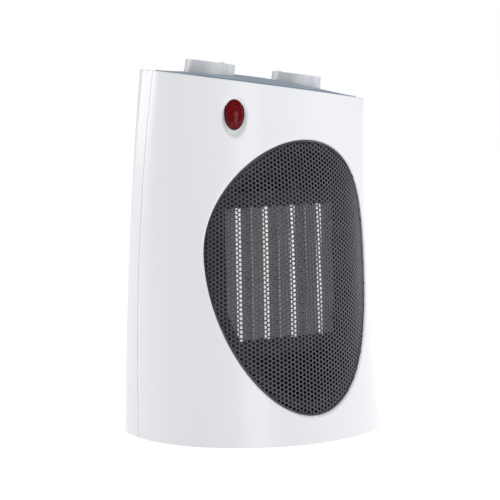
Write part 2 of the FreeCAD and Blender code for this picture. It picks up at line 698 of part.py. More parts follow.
cutout_body = rod("CutoutBody", 7, 5, (18, "element_depth / 2", f"{half_tall} + frame_end"), "z")
cutout_tabs = [box(f"CutoutTab{a}", (5, 0.8, 4), (f"18 + {a} * 8", "element_depth / 2",
                   f"{half_tall} + frame_end + 3")) for a in (-1, 1)]
keep(joined("Cutout", [cutout_body] + cutout_tabs), "thermal_cutout", CORE)
fuse_z = f"{half_tall} + frame_end + 2.2"
fuse_body = rod("FuseBody", 2.2, 11, (-32, "element_depth / 2", fuse_z), "x")
fuse_lead = rod("FuseLead", 0.5, 19, (-36, "element_depth / 2", fuse_z), "x")
keep(joined("FuseLink", [fuse_body, fuse_lead]), "thermal_fuse", CORE)


# ---------------------------------------------------------------- top panel, controls and knobs

def at_knob(side, lift):
    """A placement on the top at one knob's centre, lifted along the top's normal."""
    spot = Vector(side * size("knob_offset"), size("knob_back"), lift)
    return TOP.multiply(Placement(spot, Rotation()))


def crown_shape(face):
    """The panel's soft crown, which swells from its edge towards the middle."""
    wires = []
    for step in range(9):
        share = 1 - 0.96 * step / 8
        level = face + size("panel_crown") * (1 - share * share) ** 1.5
        wires.append(panel_wire(size("panel_margin"), level, share))
    crown = loft(wires)
    crown.Placement = TOP
    return crown


def panel_shape():
    """The crowned lens-shaped plate, with a round well for each knob and a hole for its control's bush."""
    face = size("panel_thickness") - size("panel_sink")
    plate = panel_outline(size("panel_margin"), -size("panel_sink"), face).fuse(crown_shape(face))
    for side in (-1, 1):
        plate = plate.cut(disc(at_knob(side, face), size("knob_radius") + size("well_gap"), REACH / 4))
        plate = plate.cut(disc(at_knob(side, -5), size("bush_radius") + size("running"), 10))
    return plate


keep(feature("ControlPanel", panel_shape()), "control_panel")

CONTROLS = ((-1, "thermostat_body", "thermostat_stem"), (1, "rotary_switch_body", "switch_stem"))
for side, control, stem in CONTROLS:
    name = stem.title().replace("_", "")
    spot = at_knob(side, -size("panel_sink"))
    extent = ("control_side", "control_side", "control_height")
    case = box(name + "Case", extent, (0, 0, "-control_height / 2"))
    bush = rod(name + "Bush", "bush_radius", "panel_thickness + nut_height + 0.6 + 1", (0, 0, -1), "z")
    well = rod(name + "Well", "stem_radius + running", 40, (0, 0, "-control_height / 2"), "z")
    keep(cut(name + "Control", joined(name + "Blank", [case, bush]), [well]), control, spot)
    length = "control_height / 2 - 1 + panel_sink + knob_lift + knob_height - 3"
    pin = rod(name + "Pin", "stem_radius", length, (0, 0, "1 - control_height / 2"), "z")
    keep(grouped(name, [pin]), stem, spot)

nut_spots = []
for side in (-1, 1):
    ring = tube(f"Nut{side + 2}", "nut_radius", "bush_radius + running", "nut_height", (0, 0, 0), "z")
    ring.Placement = at_knob(side, size("panel_thickness") - size("panel_sink"))
    nut_spots.append(ring)
keep(grouped("Nuts", nut_spots), "control_nuts")


def sketch_on(body, name, plane="XY_Plane"):
    """An empty sketch on one of a body's own origin planes."""
    sketch = body.newObject("Sketcher::SketchObject", name)
    support = next(item for item in body.Origin.OriginFeatures if item.Role == plane)
    sketch.AttachmentSupport = [(support, "")]
    sketch.MapMode = "FlatFace"
    return sketch


def circle_in(sketch, radius, x="0", y="0"):
    """A circle whose radius and centre are bound to formulas."""
    circle = sketch.addGeometry(Part.Circle(Vector(1, 1, 0), Vector(0, 0, 1), 10))
    rules = [(Sketcher.Constraint("Radius", circle, 10), radius),
             (Sketcher.Constraint("DistanceX", -1, 1, circle, 3, 1), x),
             (Sketcher.Constraint("DistanceY", -1, 1, circle, 3, 1), y)]
    for rule, text in rules:
        index = sketch.addConstraint(rule)
        sketch.setExpression(f"Constraints[{index}]", formula(text))


def knob(name, label, side, pointer_angle):
    """A drafted knob with six shallow finger flats, a hollow underside, a hub and a pointer rib."""
    body = doc.addObject("PartDesign::Body", name)
    skirt = body.newObject("PartDesign::Pad", name + "Skirt")
    outline = sketch_on(body, name + "Outline")
    circle_in(outline, "knob_radius")
    skirt.Profile = outline
    bind(skirt, Length="knob_height", TaperAngle="-knob_draft")
    doc.recompute()
    flat = body.newObject("PartDesign::Pocket", name + "Flat")
    flat_outline = sketch_on(body, name + "FlatOutline")
    circle_in(flat_outline, "knob_flat_radius", "knob_radius - knob_flat_depth + knob_flat_radius")
    flat.Profile = flat_outline
    flat.Type = "ThroughAll"
    flat.Reversed = True
    doc.recompute()
    lobes = body.newObject("PartDesign::PolarPattern", name + "Lobes")
    lobes.Originals = [flat]
    lobes.Axis = (outline, ["N_Axis"])
    lobes.Angle = 360
    lobes.Occurrences = int(size("knob_lobes"))
    body.Tip = lobes
    doc.recompute()
    hollow = body.newObject("PartDesign::Pocket", name + "Hollow")
    hollow_outline = sketch_on(body, name + "HollowOutline")
    circle_in(hollow_outline, "knob_radius - 4")
    circle_in(hollow_outline, "stem_radius + 2")
    hollow.Profile = hollow_outline
    hollow.Reversed = True
    bind(hollow, Length="knob_height - 2.2")
    doc.recompute()
    bore = body.newObject("PartDesign::Pocket", name + "Bore")
    bore_outline = sketch_on(body, name + "BoreOutline")
    circle_in(bore_outline, "stem_radius + running")
    bore.Profile = bore_outline
    bore.Reversed = True
    bind(bore, Length="knob_height - 2.8")
    doc.recompute()
    relief = body.newObject("PartDesign::Pocket", name + "Relief")
    relief_outline = sketch_on(body, name + "ReliefOutline")
    circle_in(relief_outline, "nut_radius + 0.8")
    relief.Profile = relief_outline
    relief.Reversed = True
    bind(relief, Length="nut_height")
    doc.recompute()
    spot = at_knob(side, size("knob_lift"))
    spot = spot.multiply(Placement(Vector(), Rotation(Vector(0, 0, 1), pointer_angle)))
    rib = box(name + "Rib", ("pointer_width", "pointer_length", "pointer_height + 0.5"),
              (0, "knob_radius - 1.2 - pointer_length / 2", "knob_height + pointer_height / 2 - 0.25"))
    return keep(joined(name + "WithRib", [body, rib]), label, spot)


doc.recompute()
knob("TemperatureKnob", "temperature_knob", -1, 180)
knob("FunctionKnob", "function_knob", 1, 90)


# ---------------------------------------------------------------- indicator lamp

def lens_shape():
    """A glossy oval dome on a stem that passes the shell."""
    across = size("lamp_half_width")
    tall = size("lamp_half_height")
    return dome(across, tall, size("lamp_dome")).fuse(oval(across, tall, -6, 0))


def lamp_body_shape():
    """The lamp's holder behind the lens, with two tags."""
    holder = oval(size("lamp_half_width") - 1, size("lamp_half_height") - 2, -6 - size("lamp_length"), -6)
    for side in (-1, 1):
        tag = Part.makeBox(0.8, 4, 7, Vector(side * 3 - 0.4, -2, -12 - size("lamp_length")))
        tag.Placement = LAMP
        holder = holder.fuse(tag)
    return holder


keep(feature("LampLens", lens_shape()), "lamp_lens")
keep(feature("LampBody", lamp_body_shape()), "lamp_body")


# ---------------------------------------------------------------- base, feet and tip-over switch

base_top = size("base_z") + size("base_thickness")
FEET = [(side * size("foot_x"), size(row)) for side in (-1, 1) for row in ("foot_front_y", "foot_back_y")]


def base_shape():
    """The floor plate between the shells, with pads for the feet and a guide hole for the plunger."""
    room = whole_case(size("wall") + size("base_gap"), size("rim_height"))
    plate = room.common(slab(size("base_z"), base_top))
    bore = size("screw_radius") + size("running")
    for x, y in FEET:
        plate = plate.fuse(Part.makeCylinder(4, 5, Vector(x, y, base_top)))
        plate = plate.cut(Part.makeCylinder(bore, 9, Vector(x, y, base_top - 5)))
    hole = Part.makeCylinder(size("plunger_radius") + 0.4, 10, Vector(size("tip_x"), size("tip_y"), 0))
    return plate.cut(hole)


keep(feature("BasePlate", base_shape()), "base_plate")

feet = []
foot_screws = []
for index, (x, y) in enumerate(FEET):
    side = 1 if x > 0 else -1
    row = "foot_back_y" if y > 0 else "foot_front_y"
    spot = (f"{side} * foot_x", row)
    pad = rod(f"FootPad{index}", "foot_radius", "base_z", (*spot, 0), "z")
    well = rod(f"FootWell{index}", "screw_head + 0.4", "base_z - 0.6 + 0.3", (*spot, -0.3), "z")
    eye = rod(f"FootEye{index}", "screw_radius + running", 8, (*spot, -1), "z")
    feet.append(cut(f"Foot{index}", pad, [well, eye]))
    head = rod(f"FootScrewHead{index}", "screw_head", 1.2, (*spot, "base_z - 1.8 - running"), "z")
    shank = rod(f"FootScrewShank{index}", "screw_radius", 7, (*spot, "base_z - 1"), "z")
    foot_screws.append(joined(f"FootScrew{index}", [head, shank]))
keep(grouped("Feet", feet), "rubber_feet")
keep(grouped("FootScrews", foot_screws), "foot_screws")

tip_case = box("TipCase", (22, 13, 15), ("tip_x", "tip_y", "base_z + base_thickness + 7.5"))
tip_bore = rod("TipBore", "plunger_radius + running", 30, ("tip_x", "tip_y", "base_z - 18"), "z")
keep(cut("TipSwitch", tip_case, [tip_bore]), "tip_over_switch")
plunger = rod("PlungerPin", "plunger_radius", 12.5, ("tip_x", "tip_y", 0.2), "z")
keep(grouped("Plunger", [plunger]), "tip_over_plunger")


# ---------------------------------------------------------------- wiring pieces and case screws

def case_screw_shape():
    """Four long screws from the back, each in its counterbore."""
    made = []
    for x, z in BOSSES:
        seam = section(z)[2]
        tip = seam - size("screw_length") + 3
        seat = seam + size("seam_gap") + size("boss_radius")
        shank = disc(along_y(x, tip, z), size("screw_radius") - size("running"), seat - tip)
        made.append(shank.fuse(disc(along_y(x, seat, z), size("screw_head"), size("screw_head_height"))))
    return Part.makeCompound(made)


def gland_shape():
    """The cord's inlet gland: a flanged sleeve through the back wall."""
    half_width, _, seam, depth = section(size("inlet_z"))
    share = (size("inlet_x") / half_width) ** 2.9
    wall_y = seam + size("back_band") + (depth - size("back_band")) * (1 - share) ** (1 / 2.9)
    radius = size("inlet_radius")
    sleeve = disc(along_y(size("inlet_x"), wall_y - 14, size("inlet_z")), radius - size("clearance"), 14)
    flange = disc(along_y(size("inlet_x"), wall_y - 14, size("inlet_z")), radius + 2.5, 3)
    return sleeve.fuse(flange).cut(disc(along_y(size("inlet_x"), wall_y - 20, size("inlet_z")), 3.4, 40))


keep(feature("CaseScrews", case_screw_shape()), "case_screws")
keep(feature("Gland", gland_shape()), "cord_inlet_gland")

block = box("TerminalBase", (26, 14, 10), ("inlet_x - 22", 36, "base_z + base_thickness + 5"))
ways = [f"inlet_x - 22 + {step} * 8" for step in (-1, 0, 1)]
slot_z = "base_z + base_thickness + 8"
wells = [box(f"TerminalSlot{i}", (5, 8, 6), (x, 36, slot_z)) for i, x in enumerate(ways)]
keep(cut("TerminalBlock", block, wells), "terminal_block")
clamp_z = "base_z + base_thickness + 7.2"
clamps = [box(f"TerminalClamp{i}", (4.6, 7.6, 4), (x, 36, clamp_z)) for i, x in enumerate(ways)]
keep(grouped("TerminalClamps", clamps), "terminal_clamps")


# ---------------------------------------------------------------- checks and export

doc.recompute()
for obj in doc.Objects:
    if "Invalid" in obj.State or "Error" in obj.State:
        raise RuntimeError(f"{obj.Name} did not build: {obj.State}")
os.makedirs("parts", exist_ok=True)
for piece in pieces:
    if piece.Shape.isNull() or not piece.Shape.isValid():
        raise RuntimeError(f"{piece.Label} has no valid shape")
for piece in pieces:
    piece.Shape.exportStep(f"parts/{piece.Label}.step")
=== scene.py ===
import math
import bmesh
import bpy
from mathutils import Matrix, Vector


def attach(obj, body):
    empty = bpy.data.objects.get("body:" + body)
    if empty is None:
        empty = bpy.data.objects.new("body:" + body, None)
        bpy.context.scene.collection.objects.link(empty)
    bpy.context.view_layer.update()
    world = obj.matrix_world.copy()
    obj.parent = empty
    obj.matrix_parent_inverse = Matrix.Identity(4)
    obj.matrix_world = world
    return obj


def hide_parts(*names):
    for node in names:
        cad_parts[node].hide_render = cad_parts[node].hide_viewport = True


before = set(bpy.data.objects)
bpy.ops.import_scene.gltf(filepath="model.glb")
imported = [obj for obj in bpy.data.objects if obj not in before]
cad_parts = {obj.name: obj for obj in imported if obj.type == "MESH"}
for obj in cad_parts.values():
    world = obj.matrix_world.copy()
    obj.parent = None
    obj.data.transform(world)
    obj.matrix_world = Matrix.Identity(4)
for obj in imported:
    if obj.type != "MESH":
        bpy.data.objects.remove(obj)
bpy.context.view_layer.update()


# Studio: a pale floor that runs out of sight, an even white surround and four soft lights, at
# the front right, the front left, over the top and behind the left edge. The camera stands to
# the heater's left and a little above its middle.

scene = bpy.context.scene
scene.view_settings.view_transform = "Standard"

optics = bpy.data.cameras.new("camera")
optics.lens = 150.57
optics.sensor_width = 36
camera = bpy.data.objects.new("camera", optics)
camera.location = (-0.8349, -1.2891, 0.3082)
camera.rotation_euler = (math.radians(83.53), 0, math.radians(-32.43))
scene.collection.objects.link(camera)
scene.camera = camera


def soft_light(name, place, aim, size, power):
    """A square lamp that faces a point."""
    panel = bpy.data.lights.new(name, "AREA")
    panel.size = size
    panel.energy = power
    holder = bpy.data.objects.new(name, panel)
    holder.location = place
    holder.rotation_euler = (Vector(place) - Vector(aim)).to_track_quat("Z", "Y").to_euler()
    holder.visible_camera = False
    scene.collection.objects.link(holder)


soft_light("key_right", (1.5, -1.2, 0.9), (0, 0, 0.14), 1.2, 9)
soft_light("fill_front", (-0.6, -2.0, 0.5), (0, 0, 0.14), 0.8, 5)
soft_light("overhead", (0.1, 0.1, 1.6), (0, 0, 0.1), 1.6, 6)
soft_light("edge_left", (-1.1, 1.7, 0.6), (0, 0.03, 0.14), 0.9, 8)

surround = bpy.data.worlds.new("surround")
surround.use_nodes = True
world_nodes = surround.node_tree.nodes
world_links = surround.node_tree.links
glow = world_nodes["Background"]
glow.inputs["Color"].default_value = (0.95, 0.97, 1.0, 1)
glow.inputs["Strength"].default_value = 0.46
backdrop = world_nodes.new("ShaderNodeBackground")
backdrop.inputs["Color"].default_value = (1, 1, 1, 1)
sight = world_nodes.new("ShaderNodeLightPath")
choice = world_nodes.new("ShaderNodeMixShader")
world_links.new(sight.outputs["Is Camera Ray"], choice.inputs["Fac"])
world_links.new(glow.outputs[0], choice.inputs[1])
world_links.new(backdrop.outputs[0], choice.inputs[2])
world_links.new(choice.outputs[0], world_nodes["World Output"].inputs["Surface"])
scene.world = surround


def finish(name, colour, shade, roughness, metal=0.0, mottle=60, grain=900, depth=0.02, spread=0.06):
    """A material whose tone and gloss wander a little, over a fine surface grain.
    colour and shade are its two tones; mottle and grain are the two scales, in cells per metre."""
    material = bpy.data.materials.new(name)
    material.use_nodes = True
    nodes, links = material.node_tree.nodes, material.node_tree.links
    shader = nodes["Principled BSDF"]
    shader.inputs["Metallic"].default_value = metal
    place = nodes.new("ShaderNodeTexCoord")
    cloud = nodes.new("ShaderNodeTexNoise")
    cloud.inputs["Scale"].default_value = mottle
    cloud.inputs["Detail"].default_value = 4
    links.new(place.outputs["Object"], cloud.inputs["Vector"])
    tone = nodes.new("ShaderNodeValToRGB")
    tone.color_ramp.elements[0].position = 0.35
    tone.color_ramp.elements[0].color = (*shade, 1)
    tone.color_ramp.elements[1].position = 0.65
    tone.color_ramp.elements[1].color = (*colour, 1)
    links.new(cloud.outputs["Fac"], tone.inputs["Fac"])
    links.new(tone.outputs["Color"], shader.inputs["Base Color"])
    gloss = nodes.new("ShaderNodeMapRange")
    gloss.inputs["To Min"].default_value = max(0.02, roughness - spread)
    gloss.inputs["To Max"].default_value = min(1.0, roughness + spread)
    links.new(cloud.outputs["Fac"], gloss.inputs["Value"])
    links.new(gloss.outputs["Result"], shader.inputs["Roughness"])
    skin_grain = nodes.new("ShaderNodeTexNoise")
    skin_grain.inputs["Scale"].default_value = grain
    skin_grain.inputs["Detail"].default_value = 2
    links.new(place.outputs["Object"], skin_grain.inputs["Vector"])
    relief = nodes.new("ShaderNodeBump")
    relief.inputs["Strength"].default_value = 0.5
    relief.inputs["Distance"].default_value = depth * 0.001
    links.new(skin_grain.outputs["Fac"], relief.inputs["Height"])
    links.new(relief.outputs["Normal"], shader.inputs["Normal"])
    return material


def tuned(material, settings):
    """Further settings of a material's shader, by the names of its sockets."""
    shader = material.node_tree.nodes["Principled BSDF"]
    for name, value in settings.items():
        shader.inputs[name].default_value = value


WHITE = (1, 1, 1, 1)
bpy.ops.object.select_all(action="DESELECT")
bpy.ops.mesh.primitive_plane_add(size=12)
floor = bpy.context.object
floor.name = "studio_floor"
floor_white = finish("floor_white", (0.88, 0.88, 0.88), (0.85, 0.85, 0.85), 0.9, mottle=3, grain=40)
tuned(floor_white, {"Emission Color": WHITE, "Emission Strength": 0.62, "Specular IOR Level": 0.1})
floor.data.materials.append(floor_white)


# Front shell: the white half of the case in front of the seam, one glossy polypropylene
# moulding about 2 mm thick. It flares to the floor, has a bevelled egg-shaped outlet on a short
# collar, a shallow oval dish for the lamp and a slanted rim on top.

SEAM_BASE = 0.01835
RIM = 0.0008
STATION = 0.255
TOP_POINT = Vector((0, SEAM_BASE, 0.2557))
TOP_NORMAL = Vector((math.tan(math.radians(7.51)), -math.tan(math.radians(1.77)), 1)).normalized()
WALL, EDGE_ROUND = 0.0021, 0.0007
# The outlet's egg: half width, height of its widest line, and its reach above and below that.
OUTLET = (0.0712, 0.1353, 0.0840, 0.1165)
OUTLET_BEVEL, COLLAR_DEPTH = 0.0016, 0.0085


def through(t, base, middle, top):
    """The parabola that passes three values at t = 0, 1/2 and 1."""
    return base + t * (4 * middle - 3 * base - top) + t * t * (2 * base - 4 * middle + 2 * top)


def section(z):
    """Half width, front depth and seam's y of the case at height z."""
    t = (z - RIM) / STATION
    half_width = through(t, 0.1, 0.0934, 0.0875)
    depth = through(t, 0.0867, 0.0808, 0.0665)
    return half_width, depth, SEAM_BASE + through(t, 0, 0.0101, 0.0013)


def on_front(a, z, squeeze=0.0, bulge=0.0):
    """A point of the front at angle a, from 0 at the left seam to pi at the right one."""
    half_width, depth, seam = section(z)
    return Vector(((squeeze - half_width) * math.cos(a), seam - (depth + bulge) * math.sin(a), z))


def top_height(x, y):
    """Height of the slanted top's plane over a place on the floor."""
    return TOP_POINT.z - (TOP_NORMAL.x * x + TOP_NORMAL.y * (y - TOP_POINT.y)) / TOP_NORMAL.z


def under_top(a):
    """The height where the front meets the slanted top at angle a."""
    z = STATION
    for _ in range(6):
        point = on_front(a, z)
        z = top_height(point.x, point.y)
    return z


def front_at(a, v):
    return on_front(a, RIM + v * (under_top(a) - RIM))


def egg_share(x, z, shrink=0.0):
    """How far out a point is on the outlet's egg, 1 on its outline, and its turn round it."""
    across, middle, up, down = OUTLET
    rise = (up if z > middle else down) - shrink
    part = Vector((x / (across - shrink), (z - middle) / rise))
    return part.length, math.atan2(part.y, part.x)


def egg_point(turn, shrink, squeeze=0.0, back=0.0, bulge=None):
    """A point on the egg's outline, shrunk by an amount and seated on the front."""
    across, middle, up, down = OUTLET
    rise = (up if math.sin(turn) > 0 else down) - shrink
    x, z = (across - shrink) * math.cos(turn), middle + rise * math.sin(turn)
    half_width = section(z)[0] - squeeze
    point = on_front(math.acos(max(-1, min(1, -x / half_width))), z, squeeze,
                     bulge(z) if bulge else 0.0)
    return point + Vector((0, back, 0))


def grid_piece(name, columns, rows, place):
    """A grid whose vertex in column i, row j is moved to place(i, j)."""
    bpy.ops.object.select_all(action="DESELECT")
    bpy.ops.mesh.primitive_grid_add(x_subdivisions=columns, y_subdivisions=rows, size=2)
    piece = bpy.context.object
    piece.name = name
    for vertex in piece.data.vertices:
        column = round((vertex.co.x + 1) / 2 * columns)
        row = round((vertex.co.y + 1) / 2 * rows)
        vertex.co = place(column, row)
    return piece


def united(pieces, gap=1e-5, outward=True):
    """Several objects made one, with the points that meet merged."""
    bpy.ops.object.select_all(action="DESELECT")
    for piece in pieces:
        piece.select_set(True)
    bpy.context.view_layer.objects.active = pieces[0]
    if len(pieces) > 1:
        bpy.ops.object.join()
    bpy.ops.object.mode_set(mode="EDIT")
    bpy.ops.mesh.select_all(action="SELECT")
    bpy.ops.mesh.remove_doubles(threshold=gap)
    bpy.ops.mesh.normals_make_consistent(inside=not outward)
    bpy.ops.object.mode_set(mode="OBJECT")
    return pieces[0]


def modified(piece, kind, **settings):
    """One modifier, applied."""
    bpy.context.view_layer.objects.active = piece
    step = piece.modifiers.new(kind.lower(), kind)
    for setting, value in settings.items():
        setattr(step, setting, value)
    bpy.ops.object.modifier_apply(modifier=step.name)


def smoothed(piece, angle=30):
    """Smooth shading, with edges sharper than the angle left crisp."""
    bpy.ops.object.select_all(action="DESELECT")
    piece.select_set(True)
    bpy.context.view_layer.objects.active = piece
    bpy.ops.object.shade_smooth_by_angle(angle=math.radians(angle))


BOTTOM_COLUMNS, RIGHT_COLUMNS, TOP_COLUMNS, LEFT_COLUMNS = 120, 130, 220, 150
AROUND = BOTTOM_COLUMNS + RIGHT_COLUMNS + TOP_COLUMNS + LEFT_COLUMNS
FRONT_RINGS = 52


def front_border(i):
    """Angle and height share of column i's end on the front's four-sided border."""
    i %= AROUND
    if i < BOTTOM_COLUMNS:
        return math.pi * i / BOTTOM_COLUMNS, 0.0
    i -= BOTTOM_COLUMNS
    if i < RIGHT_COLUMNS:
        return math.pi, i / RIGHT_COLUMNS
    i -= RIGHT_COLUMNS
    if i < TOP_COLUMNS:
        return math.pi * (1 - i / TOP_COLUMNS), 1.0
    i -= TOP_COLUMNS
    return 0.0, 1 - i / LEFT_COLUMNS


def outlet_start(i):
    """Where the line from the egg's middle to the border leaves the egg."""
    a_far, v_far = front_border(i)
    a_mid, v_mid = math.pi / 2, (OUTLET[1] - RIM) / (under_top(math.pi / 2) - RIM)
    near, far = 0.0, 1.0
    for _ in range(24):
        half = (near + far) / 2
        point = front_at(a_mid + half * (a_far - a_mid), v_mid + half * (v_far - v_mid))
        if egg_share(point.x, point.z)[0] < 1:
            near = half
        else:
            far = half
    return a_mid + near * (a_far - a_mid), v_mid + near * (v_far - v_mid)


starts = [outlet_start(i) for i in range(AROUND)]
turns = [egg_share(p.x, p.z)[1] for p in (front_at(*start) for start in starts)]

LAMP_X, LAMP_Z = -0.0509, 0.237
DISH_HALF_WIDTH, DISH_HALF_HEIGHT, DISH_DROP, DISH_DEPTH = 0.0094, 0.0154, 0.0016, 0.0016
DISH_EDGE, DISH_SLOPE = 1.04, 0.34
lamp_half_width, lamp_depth, lamp_seam = section(LAMP_Z)
lamp_share = LAMP_X / lamp_half_width
lamp_run = math.sqrt(1 - lamp_share ** 2)
LAMP_SEAT = Vector((LAMP_X, lamp_seam - lamp_depth * lamp_run, LAMP_Z))
lamp_out = Vector((lamp_depth * lamp_share / lamp_half_width / lamp_run, -1, 0.2)).normalized()
lamp_side = Vector((0, 0, 1)).cross(lamp_out).normalized()
lamp_up = lamp_out.cross(lamp_side)
LAMP_FRAME = Matrix((lamp_side, lamp_up, lamp_out)).transposed().to_4x4()
LAMP_FRAME.translation = LAMP_SEAT
to_lamp = LAMP_FRAME.inverted()


def dished(point):
    """The point, sunk where it lies in the lamp's oval dish."""
    local = to_lamp @ point
    reach = math.hypot(local.x / DISH_HALF_WIDTH, (local.y + DISH_DROP) / DISH_HALF_HEIGHT)
    fall = max(0.0, min(1.0, (DISH_EDGE - reach) / DISH_SLOPE))
    return point - lamp_out * DISH_DEPTH * fall * fall * (3 - 2 * fall)


def front_point(i, row):
    """Rows 0 and 1 are the collar, row 2 the bevel's outer edge, and the last row the border."""
    i %= AROUND
    if row < 2:
        return egg_point(turns[i], OUTLET_BEVEL, back=(COLLAR_DEPTH, OUTLET_BEVEL)[row])
    share = (row - 2) / (FRONT_RINGS - 2)
    a, v = (near + share * (far - near) for near, far in zip(starts[i], front_border(i)))
    return dished(front_at(a, v))


RIM_ROWS = 3


def front_rim(i, row):
    """The slanted top of the front shell, from its outer edge in under the control panel."""
    edge = front_at(math.pi * (1 - i / TOP_COLUMNS), 1.0)
    middle = Vector((0, section(STATION)[2], 0))
    middle.z = top_height(0, middle.y)
    return edge.lerp(middle, 0.3 * row / RIM_ROWS)


front = united([grid_piece("front_shell_skin", AROUND, FRONT_RINGS, front_point),
                grid_piece("front_rim", TOP_COLUMNS, RIM_ROWS, front_rim)])
modified(front, "BEVEL", width=EDGE_ROUND, segments=3, limit_method="ANGLE",
         angle_limit=math.radians(30))
modified(front, "SOLIDIFY", thickness=WALL, offset=-1)
smoothed(front)

case_white = finish("case_white_gloss", (0.80, 0.805, 0.82), (0.795, 0.80, 0.815), 0.3, mottle=18,
                    grain=900, depth=0.004, spread=0.02)
tuned(case_white, {"Coat Weight": 0.25, "Coat Roughness": 0.12})
front.data.materials.clear()
front.data.materials.append(case_white)
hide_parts("front_shell")
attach(front, "case")


# Rear shell: the white back half, moulded in the same plastic, with air slots level with the
# fan, four deep screw wells and the hole for the cord's gland. It meets the front at the seam.

def copied(node, body, material, angle=30):
    """A smooth-shaded copy of a machined or moulded CAD piece that stands in its place."""
    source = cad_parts[node]
    mesh = source.data.copy()
    piece = bpy.data.objects.new(node + "_finished", mesh)
    scene.collection.objects.link(piece)
    bpy.ops.object.select_all(action="DESELECT")
    piece.select_set(True)
    bpy.context.view_layer.objects.active = piece
    bpy.ops.object.mode_set(mode="EDIT")
    bpy.ops.mesh.select_all(action="SELECT")
    bpy.ops.mesh.remove_doubles(threshold=2e-6)
    bpy.ops.object.mode_set(mode="OBJECT")
    smoothed(piece, angle)
    mesh.materials.clear()
    mesh.materials.append(material)
    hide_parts(node)
    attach(piece, body)
    return piece


BACK_BAND, ROUNDNESS, SEAM_GAP = 0.009, 2.9, 0.0006
BACK_DEPTH, BACK_LEAN = 0.05, 0.008
BAND_COLUMNS, BEND_COLUMNS, BACK_ROWS = 5, 150, 64
CORE_Z = 0.1194
CORE_FRAME = Matrix.Translation((0, -0.01545, CORE_Z)) @ Matrix.Rotation(math.radians(-1.87), 4, "X")


def back_reach(z):
    """How far the back stands behind the seam at height z."""
    return SEAM_BASE + BACK_DEPTH - BACK_LEAN * (z - RIM) / STATION - section(z)[2]


def on_back(i, z):
    """A point of column i at height z: right side band, round the back, left side band."""
    half_width, depth, seam = section(z)
    if i < BAND_COLUMNS:
        return Vector((half_width, seam + SEAM_GAP + (BACK_BAND - SEAM_GAP) * i / BAND_COLUMNS, z))
    i -= BAND_COLUMNS
    if i > BEND_COLUMNS:
        i -= BEND_COLUMNS
        return Vector((-half_width, seam + BACK_BAND - (BACK_BAND - SEAM_GAP) * i / BAND_COLUMNS, z))
    turn = math.pi * i / BEND_COLUMNS
    across = math.copysign(abs(math.cos(turn)) ** (2 / ROUNDNESS), math.cos(turn))
    behind = (back_reach(z) - BACK_BAND) * math.sin(turn) ** (2 / ROUNDNESS)
    return Vector((half_width * across, seam + BACK_BAND + behind, z))


def back_top(i):
    """The top end of column i, where the back meets the slanted top."""
    z = STATION
    for _ in range(6):
        point = on_back(i, z)
        z = top_height(point.x, point.y)
    return on_back(i, z)


def back_point(i, row):
    return on_back(i, RIM + (back_top(i).z - RIM) * row / BACK_ROWS)


def back_rim(i, row):
    """The slanted top of the rear shell, from its outer edge in under the control panel."""
    middle = Vector((0, section(STATION)[2] + SEAM_GAP, 0))
    middle.z = top_height(0, middle.y)
    return back_top(i).lerp(middle, 0.34 * row / RIM_ROWS)


BACK_COLUMNS = 2 * BAND_COLUMNS + BEND_COLUMNS
back = united([grid_piece("rear_shell_skin", BACK_COLUMNS, BACK_ROWS, back_point),
               grid_piece("rear_rim", BACK_COLUMNS, RIM_ROWS, back_rim)])
modified(back, "BEVEL", width=EDGE_ROUND, segments=3, limit_method="ANGLE",
         angle_limit=math.radians(30))
modified(back, "SOLIDIFY", thickness=WALL, offset=-1)

SLOT_PITCH, SLOT_RADIUS, INTAKE_RADIUS = 0.008, 0.002, 0.046
CUTTER_LENGTH, CUTTER_Y = 0.06, 0.062
openings = []
for row in range(-5, 6):
    level = row * SLOT_PITCH
    half_chord = math.sqrt(INTAKE_RADIUS ** 2 - level ** 2) - SLOT_RADIUS
    bpy.ops.object.select_all(action="DESELECT")
    bpy.ops.mesh.primitive_cylinder_add(vertices=32, radius=SLOT_RADIUS, depth=CUTTER_LENGTH)
    slot = bpy.context.object
    slot.data.transform(Matrix.Rotation(math.radians(90), 4, "X"))
    for vertex in slot.data.vertices:
        vertex.co.x += math.copysign(half_chord, vertex.co.x)
    slot.data.transform(Matrix.Translation((0, CUTTER_Y, CORE_Z + level)))
    openings.append(slot)
WELLS = [(side * x, z) for side in (-1, 1) for x, z in ((0.084, 0.026), (0.078, 0.222))]
GLAND = (0.052, 0.030)
WELL_RADIUS, GLAND_RADIUS = 0.0034, 0.007
for (x, z), radius in [(spot, WELL_RADIUS) for spot in WELLS] + [(GLAND, GLAND_RADIUS)]:
    bpy.ops.object.select_all(action="DESELECT")
    bpy.ops.mesh.primitive_cylinder_add(vertices=48, radius=radius, depth=CUTTER_LENGTH)
    bore = bpy.context.object
    bore.data.transform(Matrix.Translation((x, CUTTER_Y, z)) @ Matrix.Rotation(math.radians(90), 4,
                                                                               "X"))
    openings.append(bore)
cutter = united(openings, gap=1e-7)
modified(back, "BOOLEAN", operation="DIFFERENCE", object=cutter, solver="EXACT")
bpy.data.objects.remove(cutter)
smoothed(back)
back.data.materials.clear()
back.data.materials.append(case_white)
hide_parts("rear_shell")
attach(back, "case")

